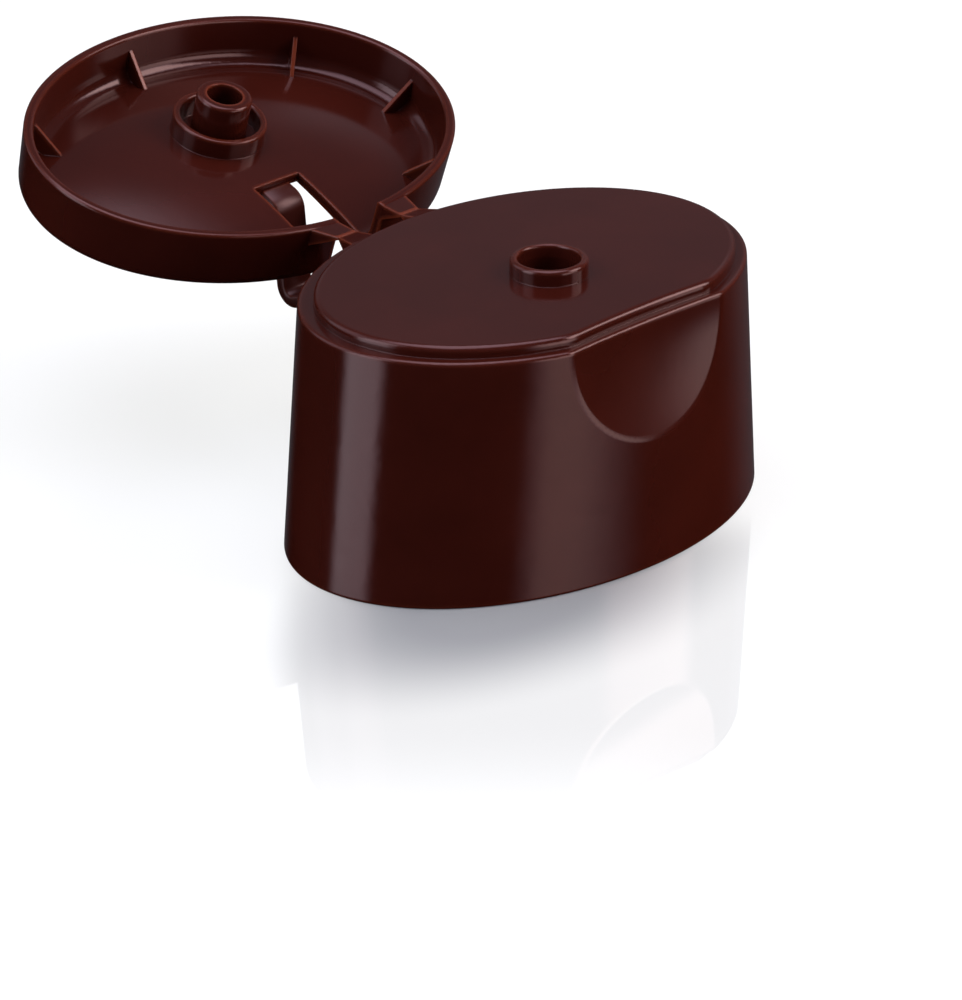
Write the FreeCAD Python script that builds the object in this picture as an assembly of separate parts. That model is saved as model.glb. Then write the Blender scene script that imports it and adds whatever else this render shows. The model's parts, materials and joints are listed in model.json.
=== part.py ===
import FreeCAD, Part
import math
import os

# Flip top cap in millimetres: +Z up, origin at the middle of the base, hinge towards +Y.
# The lid is drawn about the hinge axis as it lies fully open and level, then tilted up.

# Outer shell: ovals at the base and at the ledge
base_half_width = 28.55
base_half_depth = 19.71
top_half_width = 26.15
top_half_depth = 19.29
top_forward = 0.28
ledge_z = 26.3
shell_wall = 1.4
ledge_edge_radius = 0.4
base_edge_radius = 0.3

# Raised deck inside the ledge
ledge_width = 1.44
deck_forward = 0.33
deck_step = 1.24
deck_thickness = 1.5
deck_edge_radius = 0.6
deck_corner_radius = 5

# Thumb scoop in the front wall, and the deck's front edge behind it
scoop_depth = 2.07
scoop_drop_radius = 34.0
scoop_cross_radius = 180.0
scoop_edge_radius = 2.0
deck_front_gap = 0.95
deck_front_radius = 120.0

# Spout
spout_y = -3.81
spout_outer_radius = 4.06
spout_height = 1.68
spout_mouth_radius = 3.28
spout_lead_in = 1.3
spout_edge_radius = 0.45
spout_mouth_rounding = 0.25
plug_clearance = 0.1
spout_tube_drop = 2.0
spout_tube_wall = 1.1

# Underside: neck skirt with its snap bead, seal ring and ribs
neck_bore_radius = 12.6
neck_wall = 1.1
neck_bottom_z = 0.0
bead_height = 0.35
bead_land = 1.2
bead_ramp = 0.6
bead_above_bottom = 9.0
seal_outer_radius = 9.6
seal_wall = 0.9
seal_depth = 3.0
rib_thickness = 1.0
rib_bottom_z = 14.0
rib_count = 4

# Film hinge and its two straps
hinge_behind_ledge = 2.27
hinge_below_ledge = 0.48
strap_face_drop = 0.1
strap_inner_x = 3.2
strap_outer_x = 5.8
strap_flare = 1.0
film_thickness = 0.3
strap_root_thickness = 2.6

# Lid
open_tilt = 16.14
rim_gap = 0.07
lid_narrower = 0.04
lid_deeper = 0.16
lid_forward = 0.19
lid_height = 7.38
lid_taper = 0.35
lid_wall = 1.1
lid_edge_radius = 1.2
rim_edge_radius = 0.3
floor_depth = 6.05
floor_rise = 2.15
dish_rise = 2.43
dish_land = 0.5
dome_overrun = 2.0
floor_fillet = 1.6

# Plug and ring on the lid's inner face
plug_radius = 3.02
plug_bore_radius = 1.95
plug_tip = 0.99
plug_bore_depth = 4.2
plug_edge_radius = 0.4
plug_sink = 0.5
ring_outer_radius = 5.13
ring_wall = 0.8
ring_clearance = 0.1
ring_edge_radius = 0.25

# Gussets between the lid's wall and floor
gusset_angles = [0, 49, -49, 92, -92, 137, -137]
gusset_thickness = 0.45
gusset_reach = 3.4
gusset_top = -2.25
gusset_foot_rise = 0.6

# Window for the spring, as wide as the space between the straps
window_far = 15.35

# Spring leaf: bends measured back and down from the hinge axis
spring_width = 4.0
spring_thickness = 1.3
spring_root_reach = 1.4
spring_root_depth = 5.42
spring_knee = [14.28, -1.85]
spring_heel = [13.2, -12.62]
spring_foot_drop = 6.92
spring_bend_radius = 1.6

# How far joined solids run into each other, how far tools run past, and how edges are found
overlap = 0.5
margin = 1.0
near = 0.01

# Sizes worked out from the ones above
top_centre_y = -top_forward
hinge_y = top_centre_y + top_half_depth + hinge_behind_ledge
hinge_z = ledge_z - hinge_below_ledge
scoop_front_y = top_centre_y - top_half_depth + scoop_depth
deck_front_y = scoop_front_y + deck_front_gap
deck_centre_y = top_centre_y - deck_forward
deck_z = ledge_z + deck_step
deck_under_z = deck_z - deck_thickness
deck_half_width = top_half_width - ledge_width
deck_half_depth = top_half_depth - ledge_width
spout_top_z = deck_z + spout_height
bore_radius = plug_radius + plug_clearance
rim_drop = hinge_below_ledge + rim_gap
lid_half_width = top_half_width - lid_narrower
lid_half_depth = top_half_depth + lid_deeper
lid_centre_v = hinge_y + top_forward + lid_forward
plug_v = hinge_y - spout_y
ring_tip = hinge_z - deck_z - ring_clearance
Z_UP = FreeCAD.Vector(0, 0, 1)
X_AXIS = FreeCAD.Vector(1, 0, 0)
ORIGIN = FreeCAD.Vector(0, 0, 0)


def oval(half_width, half_depth, centre_y, z):
    """Closed elliptical wire at height z."""
    edge = Part.Ellipse(ORIGIN, half_width, half_depth).toShape()
    edge.translate(FreeCAD.Vector(0, centre_y, z))
    return Part.Wire([edge])


def oval_loft(low, high):
    """Solid between two ovals, each (half width, half depth, centre y, z)."""
    return Part.makeLoft([oval(*low), oval(*high)], True, True)


def oval_y(half_width, half_depth, x):
    """Depth of an oval at x, from its long axis."""
    return half_depth * math.sqrt(1 - (x / half_width) ** 2)


def shell_oval(z, inset):
    """Sizes of the shell's oval at height z, moved inward by inset."""
    share = z / ledge_z
    half_width = base_half_width + (top_half_width - base_half_width) * share
    half_depth = base_half_depth + (top_half_depth - base_half_depth) * share
    return (half_width - inset, half_depth - inset, top_centre_y * share, z)


def post(radius, low, high, y=0):
    """Upright cylinder on the middle plane."""
    return Part.makeCylinder(radius, high - low, FreeCAD.Vector(0, y, low), Z_UP)


def tube(outer, inner, low, high, y=0):
    """Upright round tube on the middle plane."""
    return post(outer, low, high, y).cut(post(inner, low, high, y))


def polygon_face(points):
    """Flat face inside a closed line of corner points."""
    corners = [FreeCAD.Vector(*point) for point in points]
    return Part.Face(Part.makePolygon(corners + corners[:1]))


def joined(solid, others):
    """One solid from the first and all the others."""
    for other in others:
        solid = solid.fuse(other)
    return solid


def edges_where(shape, test):
    """Edges whose bounding box passes the test."""
    return [edge for edge in shape.Edges if test(edge.BoundBox)]


def scoop_tool(grow):
    """Ring whose outside hollows the thumb scoop, grown outward for the wall behind it."""
    centre = FreeCAD.Vector(0, scoop_front_y - scoop_cross_radius, ledge_z)
    return Part.makeTorus(scoop_cross_radius - scoop_drop_radius, scoop_drop_radius + grow, centre, Z_UP)


def deck_prism(inset, low, high):
    """Oval prism of the raised deck with its front cut off along a shallow arc."""
    outline = (deck_half_width - inset, deck_half_depth - inset, deck_centre_y)
    prism = oval_loft((*outline, low), (*outline, high))
    front = post(deck_front_radius + inset, low - margin, high + margin, deck_front_y - deck_front_radius)
    return prism.cut(front)


def shell():
    """Outer shell with the scoop, the ledge and the raised deck."""
    solid = oval_loft(shell_oval(0, 0), shell_oval(ledge_z, 0))
    solid = solid.cut(scoop_tool(0))
    border = edges_where(solid, lambda b: margin < b.ZMin < ledge_z - margin and b.YMax < 0)
    solid = solid.makeFillet(scoop_edge_radius, border)
    rim = edges_where(solid, lambda b: b.ZMin > ledge_z - near)
    solid = solid.makeFillet(ledge_edge_radius, rim)
    foot = edges_where(solid, lambda b: b.ZMax < near)
    solid = solid.makeFillet(base_edge_radius, foot)
    deck = deck_prism(0, ledge_z - overlap, deck_z)
    corners = edges_where(deck, lambda b: b.XLength < near and b.YMax < deck_front_y + margin)
    deck = deck.makeFillet(deck_corner_radius, corners)
    brim = edges_where(deck, lambda b: b.ZMin > deck_z - near)
    deck = deck.makeFillet(deck_edge_radius, brim)
    return solid.fuse(deck)


def hollow():
    """Space inside the shell, kept one wall away from the scoop."""
    roof_z = ledge_z - deck_thickness
    space = oval_loft(shell_oval(0, shell_wall), shell_oval(roof_z, shell_wall))
    space = space.cut(scoop_tool(shell_wall))
    return space.fuse(deck_prism(shell_wall, roof_z - overlap, deck_under_z))


def spout():
    """Ring on the deck with its tube below, and the tool for the bore with its lead-in."""
    ring = post(spout_outer_radius, deck_under_z, spout_top_z, spout_y)
    crest = edges_where(ring, lambda b: b.ZMin > spout_top_z - near)
    ring = ring.makeFillet(spout_edge_radius, crest)
    drop_z = deck_under_z - spout_tube_drop
    pipe = post(bore_radius + spout_tube_wall, drop_z, deck_under_z + overlap, spout_y)
    bore = post(bore_radius, drop_z - margin, spout_top_z + margin, spout_y)
    lead = Part.makeCone(bore_radius, spout_mouth_radius, spout_lead_in,
                         FreeCAD.Vector(0, spout_y, spout_top_z - spout_lead_in), Z_UP)
    return ring.fuse(pipe), bore.fuse(lead)


def snap_bead():
    """Bead inside the neck skirt that snaps under the bottle's neck ring."""
    low = neck_bottom_z + bead_above_bottom
    high = low + 2 * bead_ramp + bead_land
    outer = neck_bore_radius + neck_wall / 2
    crest = neck_bore_radius - bead_height
    outline = [
        (outer, 0, low),
        (neck_bore_radius, 0, low),
        (crest, 0, low + bead_ramp),
        (crest, 0, high - bead_ramp),
        (neck_bore_radius, 0, high),
        (outer, 0, high),
    ]
    return polygon_face(outline).revolve(ORIGIN, Z_UP, 360)


def underside():
    """Neck skirt, bead, seal ring and the ribs out to the shell."""
    into_deck = deck_under_z + overlap
    parts = [
        tube(neck_bore_radius + neck_wall, neck_bore_radius, neck_bottom_z, into_deck),
        snap_bead(),
        tube(seal_outer_radius, seal_outer_radius - seal_wall, deck_under_z - seal_depth, into_deck),
    ]
    room = oval_loft(shell_oval(0, shell_wall / 2), shell_oval(ledge_z, shell_wall / 2))
    room = room.cut(scoop_tool(shell_wall / 2))
    start = neck_bore_radius + neck_wall / 2
    height = ledge_z - deck_thickness + overlap - rib_bottom_z
    slab = Part.makeBox(base_half_width - start, rib_thickness, height,
                        FreeCAD.Vector(start, -rib_thickness / 2, rib_bottom_z))
    for turn in range(rib_count):
        rib = slab.copy()
        rib.rotate(ORIGIN, Z_UP, 360 / rib_count * turn)
        parts.append(rib.common(room))
    return parts


def strap(side, wall_distance, embed, wall_level):
    """One strap half: thin at the hinge axis (y = 0), thick where it runs into a wall."""
    far = wall_distance + embed
    wide = side * (strap_outer_x + strap_flare)
    floor = -strap_root_thickness
    plan = [
        (side * strap_inner_x, 0, floor),
        (side * strap_outer_x, 0, floor),
        (wide, wall_distance, floor),
        (wide, far, floor),
        (side * strap_inner_x, far, floor),
    ]
    column = polygon_face(plan).extrude(FreeCAD.Vector(0, 0, strap_root_thickness + margin))
    top = wall_level - strap_face_drop
    profile = [
        (0, 0, -strap_face_drop),
        (0, wall_distance, top),
        (0, far, top),
        (0, far, floor),
        (0, wall_distance, floor),
        (0, 0, -strap_face_drop - film_thickness),
    ]
    wedge = polygon_face(profile).extrude(FreeCAD.Vector(wide, 0, 0))
    return column.common(wedge)


def hinge_lugs():
    """The two strap halves on the body, running back from the shell to the hinge axis."""
    wall_y = top_centre_y + oval_y(top_half_width, top_half_depth, strap_outer_x + strap_flare)
    lugs = []
    for side in (-1, 1):
        lug = strap(side, hinge_y - wall_y, shell_wall / 2, hinge_below_ledge)
        lug = lug.mirror(ORIGIN, FreeCAD.Vector(0, 1, 0))
        lug.translate(FreeCAD.Vector(0, hinge_y, hinge_z))
        lugs.append(lug)
    return lugs


def cap_body():
    """Shell, deck, spout, lugs and underside as one moulding."""
    ring, bore = spout()
    solid = shell().cut(hollow())
    solid = joined(solid, [ring] + underside() + hinge_lugs())
    solid = solid.cut(bore).removeSplitter()
    reach = spout_mouth_radius + near
    mouth = edges_where(solid, lambda b: b.ZMin > spout_top_z - near and b.XMax < reach)
    return solid.makeFillet(spout_mouth_rounding, mouth)


def lid_oval(w, inset):
    """Sizes of the lid's outer oval at height w, moved inward by inset."""
    share = (-rim_drop - w) / (lid_height - rim_drop)
    grow = -lid_taper * share - inset
    return (lid_half_width + grow, lid_half_depth + grow, lid_centre_v, w)


def dome(half_width, half_depth, rise, base_w):
    """Block under a surface that rises in the middle of an oval standing at height base_w."""
    deep_radius = (half_depth ** 2 + rise ** 2) / (2 * rise)
    wide_radius = (half_width ** 2 + rise ** 2) / (2 * rise)
    crown = base_w + rise
    half_chord = half_depth + dome_overrun
    low = crown - deep_radius + math.sqrt(deep_radius ** 2 - half_chord ** 2)
    back = FreeCAD.Vector(0, lid_centre_v - half_chord, low)
    front = FreeCAD.Vector(0, lid_centre_v + half_chord, low)
    sink = FreeCAD.Vector(0, 0, -lid_height)
    edges = [
        Part.Arc(back, FreeCAD.Vector(0, lid_centre_v, crown), front).toShape(),
        Part.makeLine(front, front + sink),
        Part.makeLine(front + sink, back + sink),
        Part.makeLine(back + sink, back),
    ]
    face = Part.Face(Part.Wire(edges))
    centre = FreeCAD.Vector(0, lid_centre_v, crown - wide_radius)
    swing = math.degrees(math.asin((half_width + dome_overrun) / wide_radius))
    axis = FreeCAD.Vector(0, 1, 0)
    face.rotate(centre, axis, -swing)
    return face.revolve(centre, axis, 2 * swing)


def lid_dish():
    """Oval dish with a floor that bulges inward, so the outside is dished too."""
    outer = oval_loft(lid_oval(-lid_height, 0), lid_oval(-rim_drop, 0))
    foot = edges_where(outer, lambda b: b.ZMax < -lid_height + near)
    outer = outer.makeFillet(lid_edge_radius, foot)
    low_width, low_depth = lid_oval(-lid_height, lid_edge_radius + dish_land)[:2]
    outer = outer.cut(dome(low_width, low_depth, dish_rise, -lid_height))
    floor_width, floor_half_depth = lid_oval(-floor_depth, lid_wall)[:2]
    inside = oval_loft(lid_oval(-lid_height, lid_wall), lid_oval(-rim_drop, lid_wall))
    inside = inside.cut(dome(floor_width, floor_half_depth, floor_rise, -floor_depth))
    corner = edges_where(inside, lambda b: b.ZMax < -rim_drop - margin)
    inside = inside.makeFillet(floor_fillet, corner)
    solid = outer.cut(inside)
    rim = edges_where(solid, lambda b: b.ZMin > -rim_drop - near)
    return solid.makeFillet(rim_edge_radius, rim)


def lid_plug():
    """Hollow plug that enters the spout, and the ring that closes round it."""
    low = -floor_depth + floor_rise - plug_sink
    plug = post(plug_radius, low, plug_tip, plug_v)
    tip = edges_where(plug, lambda b: b.ZMin > plug_tip - near)
    plug = plug.makeFillet(plug_edge_radius, tip)
    core = post(plug_bore_radius, plug_tip - plug_bore_depth, plug_tip + margin, plug_v)
    ring = tube(ring_outer_radius, ring_outer_radius - ring_wall, low, ring_tip, plug_v)
    crest = edges_where(ring, lambda b: b.ZMin > ring_tip - near)
    ring = ring.makeFillet(ring_edge_radius, crest)
    return [plug.cut(core), ring]


def gusset(angle):
    """Thin triangle between wall and floor at an angle round the lid, 0 being the front."""
    half_width, half_depth = lid_oval(gusset_top, lid_wall)[:2]
    turn = math.radians(angle)
    x = half_width * math.sin(turn)
    v = half_depth * math.cos(turn)
    normal = math.degrees(math.atan2(v / half_depth ** 2, x / half_width ** 2))
    thin = -gusset_thickness / 2
    low = -floor_depth - overlap
    profile = [
        (lid_wall / 2, thin, gusset_top),
        (0, thin, gusset_top),
        (-gusset_reach, thin, -floor_depth + gusset_foot_rise),
        (-gusset_reach, thin, low),
        (lid_wall / 2, thin, low),
    ]
    web = polygon_face(profile).extrude(FreeCAD.Vector(0, gusset_thickness, 0))
    web.rotate(ORIGIN, Z_UP, normal)
    web.translate(FreeCAD.Vector(x, lid_centre_v + v, 0))
    return web


def lid_flat():
    """Whole lid about the hinge axis, before it is tilted."""
    wall_v = lid_centre_v - oval_y(lid_half_width, lid_half_depth, strap_outer_x + strap_flare)
    straps = [strap(side, wall_v, lid_wall / 2, -rim_drop) for side in (-1, 1)]
    gussets = [gusset(angle) for angle in gusset_angles]
    solid = joined(lid_dish(), gussets + lid_plug() + straps)
    low = -lid_height - margin
    window = Part.makeBox(2 * strap_inner_x, window_far, margin - low, FreeCAD.Vector(-strap_inner_x, 0, low))
    return solid.cut(window)


def tilted(shape):
    """Places something drawn about the hinge axis where the open lid stands."""
    placed = shape.copy()
    placed.rotate(ORIGIN, X_AXIS, open_tilt)
    placed.translate(FreeCAD.Vector(0, hinge_y, hinge_z))
    return placed


def spring_leaf(body, lid):
    """Bent leaf from under the lid's window to the back wall."""
    tilt = math.radians(open_tilt)
    root_v = window_far + spring_root_reach
    root_y = root_v * math.cos(tilt) + spring_root_depth * math.sin(tilt)
    root_z = root_v * math.sin(tilt) - spring_root_depth * math.cos(tilt)
    foot_depth, foot_centre, foot_z = shell_oval(hinge_z - spring_foot_drop, shell_wall / 2)[1:]
    line = [FreeCAD.Vector(0, hinge_y + y, hinge_z + z) for y, z in ((root_y, root_z), spring_knee, spring_heel)]
    line.append(FreeCAD.Vector(0, foot_centre + foot_depth, foot_z))
    left = offset_line(line, spring_thickness / 2)
    right = offset_line(line, -spring_thickness / 2)
    face = polygon_face(left + right[::-1])
    face.translate(FreeCAD.Vector(-spring_width / 2, 0, 0))
    leaf = face.extrude(FreeCAD.Vector(spring_width, 0, 0))
    for bend in (1, 2):
        inner, outer = sorted((left[bend], right[bend]), key=lambda p: bend_side(line, bend, p))
        leaf = round_edge(leaf, inner, spring_bend_radius - spring_thickness / 2)
        leaf = round_edge(leaf, outer, spring_bend_radius + spring_thickness / 2)
    return leaf.cut(lid).cut(body)


def offset_line(line, distance):
    """Corner points of an open line in the YZ plane moved sideways by distance."""
    moved = []
    for index, point in enumerate(line):
        ahead = line[min(index + 1, len(line) - 1)] - line[min(index, len(line) - 2)]
        behind = line[max(index, 1)] - line[max(index - 1, 0)]
        n_ahead = ahead.normalize().cross(X_AXIS)
        n_behind = behind.normalize().cross(X_AXIS)
        middle = (n_ahead + n_behind).normalize()
        moved.append(point + middle * (distance / middle.dot(n_ahead)))
    return moved


def bend_side(line, bend, point):
    """Distance from a point to the middle of the line's two ends beside a bend."""
    middle = (line[bend - 1] + line[bend + 1]) * 0.5
    return point.distanceToPoint(middle)


def round_edge(leaf, corner, radius):
    """Rounds the leaf's edge that runs along X through the corner."""
    def holds(edge):
        at = edge.CenterOfMass
        return abs(at.y - corner.y) < near and abs(at.z - corner.z) < near
    return leaf.makeFillet(radius, [edge for edge in leaf.Edges if holds(edge)])


def main():
    """Builds the pieces and writes one file for each."""
    body = cap_body()
    lid = tilted(lid_flat())
    leaf = spring_leaf(body, lid)
    os.makedirs("parts", exist_ok=True)
    pieces = {"cap_body": body, "lid": lid, "spring_leaf": leaf}
    for name, shape in pieces.items():
        print(name, shape.ShapeType, len(shape.Solids), shape.isValid(), round(shape.Volume, 1), shape.BoundBox)
        shape.exportStep("parts/" + name + ".step")


main()
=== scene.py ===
"""Flip top cap in moulded plastic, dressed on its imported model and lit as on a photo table."""
import json
import math

import bmesh
import bpy
from mathutils import Matrix, Vector
from mathutils.geometry import intersect_point_line

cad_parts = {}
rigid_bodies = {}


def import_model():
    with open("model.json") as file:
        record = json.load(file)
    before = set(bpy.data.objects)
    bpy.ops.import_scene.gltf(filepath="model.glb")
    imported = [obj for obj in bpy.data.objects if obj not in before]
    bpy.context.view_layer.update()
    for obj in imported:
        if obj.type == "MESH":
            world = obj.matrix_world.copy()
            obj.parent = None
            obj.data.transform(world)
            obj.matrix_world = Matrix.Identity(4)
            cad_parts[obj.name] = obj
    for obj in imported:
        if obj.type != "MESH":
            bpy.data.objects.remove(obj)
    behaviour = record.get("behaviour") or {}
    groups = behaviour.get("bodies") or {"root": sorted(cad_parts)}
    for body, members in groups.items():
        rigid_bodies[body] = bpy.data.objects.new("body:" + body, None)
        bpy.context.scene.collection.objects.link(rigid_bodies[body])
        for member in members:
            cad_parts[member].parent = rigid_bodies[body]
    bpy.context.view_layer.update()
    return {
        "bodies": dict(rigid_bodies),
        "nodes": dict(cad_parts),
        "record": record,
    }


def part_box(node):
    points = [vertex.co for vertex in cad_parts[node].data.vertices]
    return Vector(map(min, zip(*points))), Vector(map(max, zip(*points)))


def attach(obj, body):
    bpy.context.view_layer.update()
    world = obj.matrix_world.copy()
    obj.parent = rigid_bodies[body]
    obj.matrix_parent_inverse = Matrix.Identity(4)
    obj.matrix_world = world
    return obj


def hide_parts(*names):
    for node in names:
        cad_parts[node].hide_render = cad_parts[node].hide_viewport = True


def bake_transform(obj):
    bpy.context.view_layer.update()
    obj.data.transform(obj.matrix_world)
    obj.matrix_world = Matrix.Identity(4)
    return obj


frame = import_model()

bl_info = {
    "name": "Flip top cap",
    "version": (1, 0, 0),
    "blender": (4, 5, 0),
    "location": "3D View > Sidebar > Cap",
    "description": "Gives the flip top cap its plastic, its spring leaf, and a photo table to stand on",
    "category": "Object",
}

MM = 0.001
HINGE = Vector(frame["record"]["behaviour"]["joints"][0]["pos_m"])
GLOSSY, SATIN = "brown_plastic", "brown_plastic_satin"
WHITE = (1, 1, 1, 1)

# The leaf's bends, seen from the hinge line: how far back, how far down
FOOT_DROP = 6.92 * MM
HEEL = (13.2 * MM, 12.62 * MM)
KNEE = (14.28 * MM, 1.85 * MM)
LEAF_LENGTH = 31 * MM

# Soft boxes of the studio: bearing from -Y towards +X and half width in degrees, softness of the
# left and the right side, then low and high end and their softness as sines of the height
SOFT_BOXES = {
    "key": (44, 18, 0.06, 0.06, 0.34, 0.75, 0.06),
    "left_strip": (-108.2, 16.2, 0.09, 0.09, -0.34, 0.75, 0.05),
    "front_strip": (10, 15, 0.12, 0.26, -0.48, 0.30, 0.10),
    "front_card": (16, 23.5, 0.06, 0.03, -0.30, 0.30, 0.06),
    "back_wall": (152, 68, 0.20, 0.15, 0.15, 0.93, 0.10),
    "right_card": (125, 35, 0.20, 0.20, -0.55, 0.35, 0.15),
    "far_shelf": (112, 13, 0.05, 0.05, 0.40, 0.57, 0.06),
    "left_fill": (-135, 35, 0.15, 0.15, 0.20, 0.80, 0.12),
}
COOL_LIGHT = (0.95, 0.97, 1.10, 1)
LEFT_STRIP_LIGHT = (0.95, 1.10, 1.16, 1)
WARM_LIGHT = (1.05, 1.0, 0.92, 1)
SIDE_LAMP_BEARING, SIDE_LAMP_RISE, SIDE_LAMP_DISTANCE = math.radians(75), 0.09, 0.5
CAP_MIDDLE = Vector((0, 0, 13 * MM))

# The table: level directions to the photo's left and towards its viewer, the oval shadow painted
# into the table's white at the cap's front left, and the share of light that the table mirrors in front of
# the cap
LEFTWARD = (-0.713, 0.70, 0)
VIEWERWARD = (-0.70, -0.713, 0)
TABLE_HALF_SIZE = 3.0
CHALK = (0.30, 0.30, 0.30, 1)
# Painted shadow: the grey that the table's white turns to, in an oval round this centre with these half
# sizes
PAINTED_SHADOW_COLOUR = (0.165, 0.17, 0.205, 1)
PAINTED_SHADOW_CENTRE = (-16 * MM, -14 * MM)
PAINTED_SHADOW_HALF_SIZE = (30 * MM, 18 * MM)
MIRROR_SHARE = 0.19


class Wire:
    """An output socket whose sums and products add Math nodes."""

    def __init__(self, tree, socket):
        self.tree = tree
        self.socket = socket

    def math(self, operation, *values):
        return self.tree.node("ShaderNodeMath", {"operation": operation}, *values).out()

    def __add__(self, other):
        return self.math("ADD", self, other)

    def __radd__(self, other):
        return self.math("ADD", other, self)

    def __sub__(self, other):
        return self.math("SUBTRACT", self, other)

    def __rsub__(self, other):
        return self.math("SUBTRACT", other, self)

    def __mul__(self, other):
        return self.math("MULTIPLY", self, other)

    def __rmul__(self, other):
        return self.math("MULTIPLY", other, self)

    def __truediv__(self, other):
        return self.math("DIVIDE", self, other)

    def __rtruediv__(self, other):
        return self.math("DIVIDE", other, self)

    def above(self, other):
        return self.math("GREATER_THAN", self, other)

    def most(self, other):
        return self.math("MAXIMUM", self, other)

    def soft(self, low, high):
        """0 up to low, 1 from high, and a smooth step between them."""
        settings = {"interpolation_type": "SMOOTHSTEP", "clamp": True}
        return self.tree.node("ShaderNodeMapRange", settings, self, low, high, 0.0, 1.0).out()

    def band(self, low, high, soft):
        """1 between low and high with soft ends, 0 outside."""
        return self.soft(low - soft, low + soft) * (1 - self.soft(high - soft, high + soft))


class Made:
    """A node that has been set up, with its outputs to hand."""

    def __init__(self, tree, node):
        self.tree = tree
        self.node = node

    def out(self, name=0):
        return Wire(self.tree, self.node.outputs[name])


class Tree:
    """Puts nodes into a material's or the world's node tree."""

    def __init__(self, owner):
        owner.use_nodes = True
        self.nodes = owner.node_tree.nodes
        self.links = owner.node_tree.links
        self.nodes.clear()

    def node(self, kind, settings=None, *inputs, **named):
        """Adds a node: its settings first, then its sockets' values or links."""
        node = self.nodes.new(kind)
        for key, value in (settings or {}).items():
            setattr(node, key, value)
        for index, value in enumerate(inputs):
            self.feed(node.inputs[index], value)
        for key, value in named.items():
            self.feed(node.inputs[key.replace("_", " ")], value)
        return Made(self, node)

    def vector(self, operation, *values):
        """A vector worked out from vectors."""
        return self.node("ShaderNodeVectorMath", {"operation": operation}, *values).out("Vector")

    def measure(self, operation, *values):
        """A number worked out from vectors."""
        return self.node("ShaderNodeVectorMath", {"operation": operation}, *values).out("Value")

    def mix(self, share, first, second):
        """Mixes two colours by a share from 0 to 1."""
        node = self.node("ShaderNodeMix", {"data_type": "RGBA"}).node
        self.feed(node.inputs["Factor"], share)
        self.feed(node.inputs[6], first)
        self.feed(node.inputs[7], second)
        return Wire(self, node.outputs[2])

    def feed(self, socket, value):
        """Links a wire into a socket, or sets the socket's value."""
        if isinstance(value, Made):
            value = value.out()
        if isinstance(value, Wire):
            self.links.new(value.socket, socket)
        elif value is not None:
            socket.default_value = value


# Settings in the sidebar


class CapPlastic(bpy.types.PropertyGroup):
    colour: bpy.props.FloatVectorProperty(
        name="Colour", description="Colour of the moulded plastic", subtype="COLOR",
        size=3, min=0, max=1, default=(0.040, 0.0058, 0.0036))
    # Painted glow: base colour that stands in for light coming through thin edges
    edge_colour: bpy.props.FloatVectorProperty(
        name="Edge colour", description="Colour where light comes through a thin edge", subtype="COLOR",
        size=3, min=0, max=1, default=(0.16, 0.028, 0.012))
    gloss_colour: bpy.props.FloatVectorProperty(
        name="Gloss colour", description="Colour of the plastic's reflections seen head on", subtype="COLOR",
        size=3, min=0, max=1, default=(1.0, 0.62, 0.66))
    edge_depth: bpy.props.FloatProperty(
        name="Edge depth", description="How far light comes through an edge", subtype="DISTANCE",
        default=0.5 * MM)
    edge_rounding: bpy.props.FloatProperty(
        name="Edge rounding", description="Rounding of the highlights on sharp edges", subtype="DISTANCE",
        default=0.2 * MM)
    roughness: bpy.props.FloatProperty(
        name="Roughness", description="How blurred the plastic's reflections are",
        min=0, max=1, default=0.13)
    leaf_roughness: bpy.props.FloatProperty(
        name="Leaf roughness", description="How blurred the bent leaf's reflections are",
        min=0, max=1, default=0.33)


class CapLight(bpy.types.PropertyGroup):
    zenith: bpy.props.FloatProperty(
        name="Zenith", description="Brightness of the light straight above the cap", min=0, default=2.8)
    key: bpy.props.FloatProperty(
        name="Key", description="Brightness of the high soft box on the right", min=0, default=5.6)
    left_strip: bpy.props.FloatProperty(
        name="Left strip", description="Brightness of the upright soft box on the left",
        min=0, default=2.15)
    left_fill: bpy.props.FloatProperty(
        name="Left fill", description="Brightness of the broad card at the left and back",
        min=0, default=0.9)
    front_strip: bpy.props.FloatProperty(
        name="Front strip", description="Brightness of the upright soft box in front",
        min=0, default=1.15)
    front_card: bpy.props.FloatProperty(
        name="Front card", description="Brightness of the wide card beside the front strip",
        min=0, default=1.70)
    back_wall: bpy.props.FloatProperty(
        name="Back wall", description="Brightness of the wall behind the cap", min=0, default=0.055)
    right_card: bpy.props.FloatProperty(
        name="Right card", description="Brightness of the low card at the right and back",
        min=0, default=0.06)
    far_shelf: bpy.props.FloatProperty(
        name="Far shelf", description="Brightness of the small card that the lid's floor mirrors",
        min=0, default=0.20)
    room: bpy.props.FloatProperty(
        name="Room", description="Brightness of the dim room round the soft boxes", min=0, default=0.06)
    side_lamp: bpy.props.FloatProperty(
        name="Side lamp", description="Power of the low warm lamp at the right",
        min=0, default=1.2, unit="POWER")
    table_white: bpy.props.FloatProperty(
        name="Table white", description="Brightness that the table shows to the camera by itself",
        min=0, default=0.74)


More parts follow.
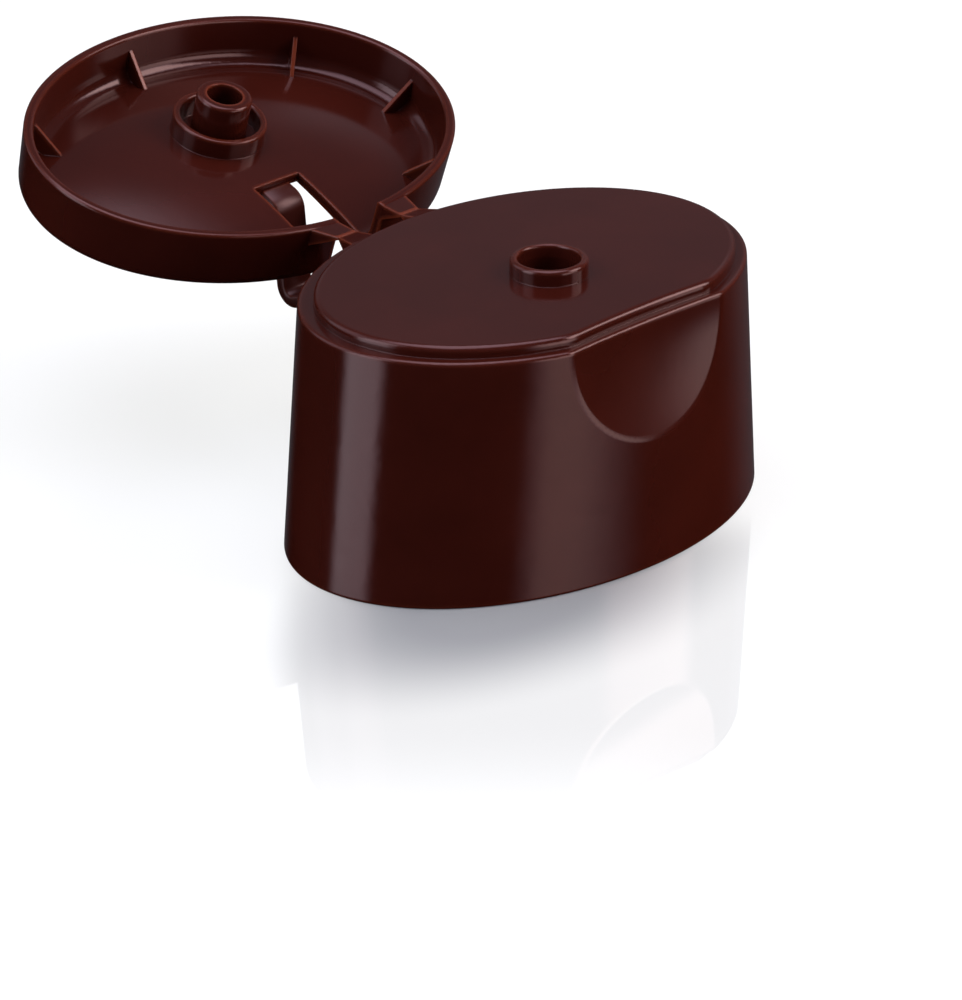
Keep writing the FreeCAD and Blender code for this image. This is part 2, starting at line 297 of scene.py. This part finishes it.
class CapLeaf(bpy.types.PropertyGroup):
    slices: bpy.props.IntProperty(
        name="Slices", description="Cuts across the leaf that let it bend", min=4, default=36)
    edge: bpy.props.FloatProperty(
        name="Edge", description="Rounding of the leaf's long edges", subtype="DISTANCE", default=0.22 * MM)
    web_from: bpy.props.FloatProperty(
        name="Web from", description="Inner edge of each film web from the middle", subtype="DISTANCE",
        default=3.22 * MM)
    web_to: bpy.props.FloatProperty(
        name="Web to", description="Outer edge of each film web from the middle", subtype="DISTANCE",
        default=5.78 * MM)
    web_half_length: bpy.props.FloatProperty(
        name="Web half length", description="Reach of a film web to each side of the hinge line",
        subtype="DISTANCE", default=0.9 * MM)
    web_bend: bpy.props.FloatProperty(
        name="Web bend", description="Reach of a film web's bend to each side of the hinge line",
        subtype="DISTANCE", default=0.36 * MM)
    web_thickness: bpy.props.FloatProperty(
        name="Web thickness", description="Thickness of a film web", subtype="DISTANCE", default=0.31 * MM)
    web_drop: bpy.props.FloatProperty(
        name="Web drop", description="Depth of a film web's middle under the hinge line",
        subtype="DISTANCE", default=0.25 * MM)


class CapCamera(bpy.types.PropertyGroup):
    azimuth: bpy.props.FloatProperty(
        name="Azimuth", description="Bearing of the camera, 0 looking along +Y", subtype="ANGLE",
        default=math.radians(-44.49))
    elevation: bpy.props.FloatProperty(
        name="Elevation", description="Height of the camera above the horizon", subtype="ANGLE",
        default=math.radians(25.08))
    roll: bpy.props.FloatProperty(
        name="Roll", description="Turn of the camera about its own axis", subtype="ANGLE",
        default=math.radians(-0.20))
    distance: bpy.props.FloatProperty(
        name="Distance", description="From the camera to the point it looks at", subtype="DISTANCE",
        default=0.53368)
    target: bpy.props.FloatVectorProperty(
        name="Target", description="Point that the camera looks at", subtype="TRANSLATION",
        size=3, default=(-0.015316, -0.009418, 0.008899))
    lens: bpy.props.FloatProperty(
        name="Lens", description="Focal length on a 36 mm frame, in millimetres", default=190.9)


# Finishes


def moulded_plastic(name, roughness):
    """Brown plastic, painted warmer at thin edges as if light came through them, with a faint unevenness
    from its mould.
    """
    look = bpy.context.scene.cap_plastic
    material = bpy.data.materials.new(name)
    tree = Tree(material)
    place = tree.node("ShaderNodeTexCoord").out("Object")
    flow = tree.node("ShaderNodeTexNoise", {"noise_dimensions": "3D"}, Vector=place,
                     Scale=90.0, Detail=3.0, Roughness=0.55).out(0)
    skin = tree.node("ShaderNodeTexNoise", {"noise_dimensions": "3D"}, Vector=place,
                     Scale=1400.0, Detail=2.0, Roughness=0.5).out(0)
    # Painted glow: thin edges, found by occlusion from inside, get a lighter orange base colour in place of
    # light coming through
    depth = tree.node("ShaderNodeAmbientOcclusion", {"inside": True, "only_local": True, "samples": 6},
                      Distance=look.edge_depth).out("AO")
    painted_glow_mask = (1 - depth).soft(0.06, 0.5)
    pale_streak = [channel * 1.18 for channel in look.colour]
    clouded = tree.mix(flow.soft(0.35, 0.75), (*look.colour, 1), (*pale_streak, 1))
    # Base colour: random mould streaks, with the painted edge glow mixed in
    base = tree.mix(painted_glow_mask, clouded, (*look.edge_colour, 1))
    rough = roughness - 0.02 + flow * 0.04
    eased = tree.node("ShaderNodeBevel", {"samples": 4}, Radius=look.edge_rounding)
    bump = tree.node("ShaderNodeBump", {}, Strength=0.04, Distance=0.05 * MM, Height=skin, Normal=eased)
    shader = tree.node("ShaderNodeBsdfPrincipled", {}, Base_Color=base, Roughness=rough, IOR=1.5,
                       Specular_Tint=(*look.gloss_colour, 1), Normal=bump)
    tree.node("ShaderNodeOutputMaterial", {}, Surface=shader)
    return material


def dress(node_name, material):
    """Gives a CAD node the finish, leaving its mesh alone."""
    piece = frame["nodes"][node_name]
    for slot in piece.material_slots:
        slot.material = material


class CAP_OT_plastic(bpy.types.Operator):
    """Gives the cap's body, lid and leaf their plastic"""
    bl_idname = "cap.plastic"
    bl_label = "Plastic"

    def execute(self, context):
        look = context.scene.cap_plastic
        gloss = moulded_plastic(GLOSSY, look.roughness)
        dress("cap_body", gloss)
        dress("lid", gloss)
        dress("spring_leaf", moulded_plastic(SATIN, look.leaf_roughness))
        return {"FINISHED"}


# Leaf and film webs


def shown_mesh(build, name, finish):
    """Makes a smooth-shaded mesh object with its finish from a bmesh."""
    mesh = bpy.data.meshes.new(name)
    build.to_mesh(mesh)
    build.free()
    mesh.shade_smooth()
    mesh.set_sharp_from_angle(angle=math.radians(40))
    piece = bpy.data.objects.new(name, mesh)
    bpy.context.scene.collection.objects.link(piece)
    mesh.materials.append(bpy.data.materials[finish])
    return piece


def run(edge):
    """The step from one end of an edge to the other."""
    return edge.verts[0].co - edge.verts[1].co


def round_edges(build, edges, offset):
    bmesh.ops.bevel(build, geom=edges, offset=offset, offset_type="OFFSET", affect="EDGES",
                    segments=2, profile=0.5, material=-1)


def leaf_line(low, high):
    """The leaf's middle line from its foot in the back wall round two bends to its root under the lid."""
    foot = Vector((0, low.y, HINGE.z - FOOT_DROP))
    heel, knee = (HINGE + Vector((0, back, -drop)) for back, drop in (HEEL, KNEE))
    root = Vector((0, high.y, high.z))
    return [foot, heel, knee, root]


def share_along(point, line):
    """How far along the line a point lies, from 0 at its start to 1 at its end."""
    lengths = [(b - a).length for a, b in zip(line, line[1:])]
    best = None
    for index, (a, b) in enumerate(zip(line, line[1:])):
        part = min(1.0, max(0.0, intersect_point_line(point, a, b)[1]))
        gap = (a.lerp(b, part) - point).length
        if best is None or gap < best[0]:
            best = (gap, sum(lengths[:index]) + part * lengths[index])
    return best[1] / sum(lengths)


class CAP_OT_leaf(bpy.types.Operator):
    """Makes the spring leaf bend between the back wall and the lid"""
    bl_idname = "cap.leaf"
    bl_label = "Spring leaf"

    def execute(self, context):
        look = context.scene.cap_leaf
        low, high = (Vector(corner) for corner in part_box("spring_leaf"))
        line = leaf_line(low, high)
        build = bmesh.new()
        build.from_mesh(frame["nodes"]["spring_leaf"].data)
        bmesh.ops.remove_doubles(build, verts=build.verts, dist=0.001 * MM)
        bmesh.ops.dissolve_limit(build, angle_limit=math.radians(0.5), verts=build.verts, edges=build.edges)
        sides = [face for face in build.faces if abs(face.normal.x) > 0.99]
        long_edges = list({edge for face in sides for edge in face.edges
                           if abs(run(edge).normalized().x) < 0.2})
        round_edges(build, long_edges, look.edge)
        for a, b in zip(line, line[1:]):
            cuts = max(2, round(look.slices * (b - a).length / LEAF_LENGTH))
            for step in range(1, cuts):
                bmesh.ops.bisect_plane(build, geom=build.verts[:] + build.edges[:] + build.faces[:],
                                       plane_co=a.lerp(b, step / cuts), plane_no=(b - a).normalized(),
                                       dist=0.01 * MM)
        piece = shown_mesh(build, "spring_leaf_bent", SATIN)
        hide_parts("spring_leaf")
        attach(piece, "base")
        self.tie_to_lid(piece, line)
        return {"FINISHED"}

    def tie_to_lid(self, piece, line):
        """The lid pulls each point of the leaf by its share of the way to the lid."""
        lid = frame["bodies"]["lid"]
        pull = piece.vertex_groups.new(name="lid_pull")
        for vertex in piece.data.vertices:
            pull.add([vertex.index], share_along(vertex.co, line), "REPLACE")
        hook = piece.modifiers.new("lid_pull", "HOOK")
        hook.object = lid
        hook.vertex_group = pull.name
        hook.falloff_type = "NONE"
        hook.strength = 1.0
        hook.matrix_inverse = lid.matrix_world.inverted() @ piece.matrix_world


class CAP_OT_webs(bpy.types.Operator):
    """Joins body and lid with the two thin webs of the film hinge"""
    bl_idname = "cap.webs"
    bl_label = "Film webs"

    def execute(self, context):
        look = context.scene.cap_leaf
        middle = (look.web_from + look.web_to) / 2
        size = Vector((look.web_to - look.web_from, 2 * look.web_half_length, look.web_thickness))
        for side, name in ((-1, "film_web_left"), (1, "film_web_right")):
            build = bmesh.new()
            place = Matrix.Translation(HINGE + Vector((side * middle, 0, -look.web_drop)))
            bmesh.ops.create_cube(build, size=1.0, matrix=place @ Matrix.Diagonal((*size, 1)))
            along = [edge for edge in build.edges if abs(run(edge).y) > MM]
            bmesh.ops.subdivide_edges(build, edges=along, cuts=23, use_grid_fill=True)
            rims = [edge for edge in build.edges
                    if edge.calc_face_angle(0) > 1 and abs(run(edge).x) < 0.01 * MM]
            round_edges(build, rims, 0.06 * MM)
            piece = shown_mesh(build, name, GLOSSY)
            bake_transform(piece)
        return {"FINISHED"}


# Photo table


def soft_box(along, up, bearing, half_width, soft_left, soft_right, low, high, soft):
    """Mask of an upright soft box seen from the cap; along is the level direction, up its height."""
    bearing, edge = math.radians(bearing), math.sin(math.radians(half_width))
    centre = Vector((math.sin(bearing), -math.cos(bearing), 0))
    right = Vector((math.cos(bearing), math.sin(bearing), 0))
    across = along.tree.measure("DOT_PRODUCT", along, right)
    ahead = along.tree.measure("DOT_PRODUCT", along, centre)
    from_left = across.soft(-edge - soft_left, -edge + soft_left)
    from_right = 1 - across.soft(edge - soft_right, edge + soft_right)
    return from_left * from_right * up.band(low, high, soft) * ahead.above(0.0)


def hang_side_lamp(power):
    """Lights the scoop and the cap's right side, without a reflection of its own."""
    lamp = bpy.data.lights.new("warm_side_lamp", "AREA")
    lamp.shape = "RECTANGLE"
    lamp.size = 0.30
    lamp.size_y = 0.08
    lamp.energy = power
    lamp.color = (1.0, 0.8, 0.5)
    side = bpy.data.objects.new("warm_side_lamp", lamp)
    side.visible_glossy = False
    way = Vector((math.sin(SIDE_LAMP_BEARING), -math.cos(SIDE_LAMP_BEARING), SIDE_LAMP_RISE)).normalized()
    place = Matrix.Translation(CAP_MIDDLE + way * SIDE_LAMP_DISTANCE)
    side.matrix_world = place @ way.to_track_quat("Z", "Y").to_matrix().to_4x4()
    bpy.context.scene.collection.objects.link(side)


class CAP_OT_lights(bpy.types.Operator):
    """Surrounds the cap with soft boxes in a dim room, white to the camera, and hangs a low side lamp"""
    bl_idname = "cap.lights"
    bl_label = "Lights"

    def execute(self, context):
        look = context.scene.cap_light
        world = bpy.data.worlds.new("photo_table")
        context.scene.world = world
        tree = Tree(world)
        parts = tree.node("ShaderNodeSeparateXYZ", {}, tree.node("ShaderNodeTexCoord").out("Generated"))
        up = parts.out("Z")
        level = tree.node("ShaderNodeCombineXYZ", {}, parts.out("X"), parts.out("Y"), 0.0)
        along = tree.vector("NORMALIZE", level.out())
        boxes = {name: soft_box(along, up, *shape) for name, shape in SOFT_BOXES.items()}
        height = up.most(0.05)
        zenith = (parts.out("X") / height).band(-0.5, 0.5, 0.15)
        zenith = zenith * (parts.out("Y") / height).band(-0.4, 0.45, 0.15) * up.above(0.3)
        light = look.room * up.soft(-0.15, 0.25) + zenith * look.zenith
        for name, box in boxes.items():
            light = light + box * getattr(look, name)
        warm = boxes["key"].most(boxes["front_strip"]).most(boxes["front_card"])
        tint = tree.mix(warm, tree.mix(boxes["left_strip"], COOL_LIGHT, LEFT_STRIP_LIGHT), WARM_LIGHT)
        studio = tree.node("ShaderNodeBackground", {}, tint, light)
        white = tree.node("ShaderNodeBackground", {}, WHITE, 1.0)
        rays = tree.node("ShaderNodeLightPath")
        seen = rays.out("Is Camera Ray") + rays.out("Is Singular Ray") + rays.out("Is Transmission Ray")
        both = tree.node("ShaderNodeMixShader", {}, seen, studio, white)
        tree.node("ShaderNodeOutputWorld", {}, Surface=both)
        hang_side_lamp(look.side_lamp)
        return {"FINISHED"}


def white_table(brightness):
    """White matt table with a soft shadow painted into its white at the cap's front left, and a faint mirror
    image in front.
    """
    material = bpy.data.materials.new("white_table")
    tree = Tree(material)
    place = tree.node("ShaderNodeTexCoord").out("Object")
    # Painted shadow: the white that the table shows to the camera turns cool grey in an oval at the cap's
    # front left
    shifted = tree.vector("SUBTRACT", place, (*PAINTED_SHADOW_CENTRE, 0))
    painted_shadow_oval = tree.vector("MULTIPLY", shifted, (*(1 / half for half in PAINTED_SHADOW_HALF_SIZE), 0))
    painted_shadow = 1 - tree.measure("LENGTH", painted_shadow_oval).soft(0.35, 1.15)
    chalk = tree.node("ShaderNodeBsdfDiffuse", {}, Color=CHALK)
    seen = tree.node("ShaderNodeLightPath").out("Is Camera Ray")
    # White for the camera, turned grey by the painted shadow
    glow = tree.node("ShaderNodeEmission", {}, Color=tree.mix(painted_shadow, WHITE, PAINTED_SHADOW_COLOUR),
                     Strength=seen * brightness)
    lit = tree.node("ShaderNodeAddShader", {}, chalk, glow)
    mirror = tree.node("ShaderNodeBsdfGlossy", {}, Color=WHITE, Roughness=0.0)
    aside = tree.measure("DOT_PRODUCT", place, LEFTWARD)
    ahead = tree.measure("DOT_PRODUCT", place, VIEWERWARD)
    share = MIRROR_SHARE * (1 - ahead.soft(48 * MM, 76 * MM)) * ahead.soft(0, 12 * MM)
    share = share * (1 - aside.soft(21 * MM, 26 * MM))
    both = tree.node("ShaderNodeMixShader", {}, share, lit, mirror)
    tree.node("ShaderNodeOutputMaterial", {}, Surface=both)
    return material


class CAP_OT_floor(bpy.types.Operator):
    """Lays a white table under the cap"""
    bl_idname = "cap.floor"
    bl_label = "Table"

    def execute(self, context):
        mesh = bpy.data.meshes.new("table")
        build = bmesh.new()
        bmesh.ops.create_grid(build, x_segments=8, y_segments=8, size=TABLE_HALF_SIZE)
        build.to_mesh(mesh)
        build.free()
        floor = bpy.data.objects.new("table", mesh)
        context.scene.collection.objects.link(floor)
        floor.visible_glossy = False
        mesh.materials.append(white_table(context.scene.cap_light.table_white))
        return {"FINISHED"}


class CAP_OT_camera(bpy.types.Operator):
    """Places the camera as the photograph was taken"""
    bl_idname = "cap.camera"
    bl_label = "Camera"

    def execute(self, context):
        look = context.scene.cap_camera
        lens = bpy.data.cameras.new("camera")
        camera = bpy.data.objects.new("camera", lens)
        context.scene.collection.objects.link(camera)
        context.scene.camera = camera
        back = Vector((
            math.sin(look.azimuth) * math.cos(look.elevation),
            -math.cos(look.azimuth) * math.cos(look.elevation),
            math.sin(look.elevation),
        ))
        aim = back.to_track_quat("Z", "Y").to_matrix().to_4x4()
        place = Matrix.Translation(Vector(look.target) + back * look.distance)
        camera.matrix_world = place @ aim @ Matrix.Rotation(look.roll, 4, "Z")
        lens.lens = look.lens
        lens.sensor_width = 36.0
        lens.clip_start = 0.01
        lens.clip_end = 20.0
        context.scene.view_settings.view_transform = "Standard"
        return {"FINISHED"}


class CAP_PT_panel(bpy.types.Panel):
    """The cap's settings and steps"""
    bl_idname = "CAP_PT_panel"
    bl_label = "Flip top cap"
    bl_space_type = "VIEW_3D"
    bl_region_type = "UI"
    bl_category = "Cap"

    def draw(self, context):
        for group in [getattr(context.scene, name) for name in GROUPS]:
            box = self.layout.box()
            for name in group.bl_rna.properties.keys():
                if name not in ("rna_type", "name"):
                    box.prop(group, name)
        for step in STEPS:
            self.layout.operator(step.bl_idname)


STEPS = (CAP_OT_camera, CAP_OT_plastic, CAP_OT_leaf, CAP_OT_webs, CAP_OT_lights, CAP_OT_floor)
GROUPS = {"cap_plastic": CapPlastic, "cap_leaf": CapLeaf, "cap_light": CapLight, "cap_camera": CapCamera}


def register():
    for group in GROUPS.values():
        bpy.utils.register_class(group)
    for name, group in GROUPS.items():
        setattr(bpy.types.Scene, name, bpy.props.PointerProperty(type=group))
    for step in (*STEPS, CAP_PT_panel):
        bpy.utils.register_class(step)


def unregister():
    for step in reversed((*STEPS, CAP_PT_panel)):
        bpy.utils.unregister_class(step)
    for name in GROUPS:
        delattr(bpy.types.Scene, name)
    for group in GROUPS.values():
        bpy.utils.unregister_class(group)


def main():
    """Builds everything in order."""
    register()
    bpy.ops.cap.camera()
    bpy.ops.cap.plastic()
    bpy.ops.cap.leaf()
    bpy.ops.cap.webs()
    bpy.ops.cap.lights()
    bpy.ops.cap.floor()


if __name__ == "__main__":
    main()
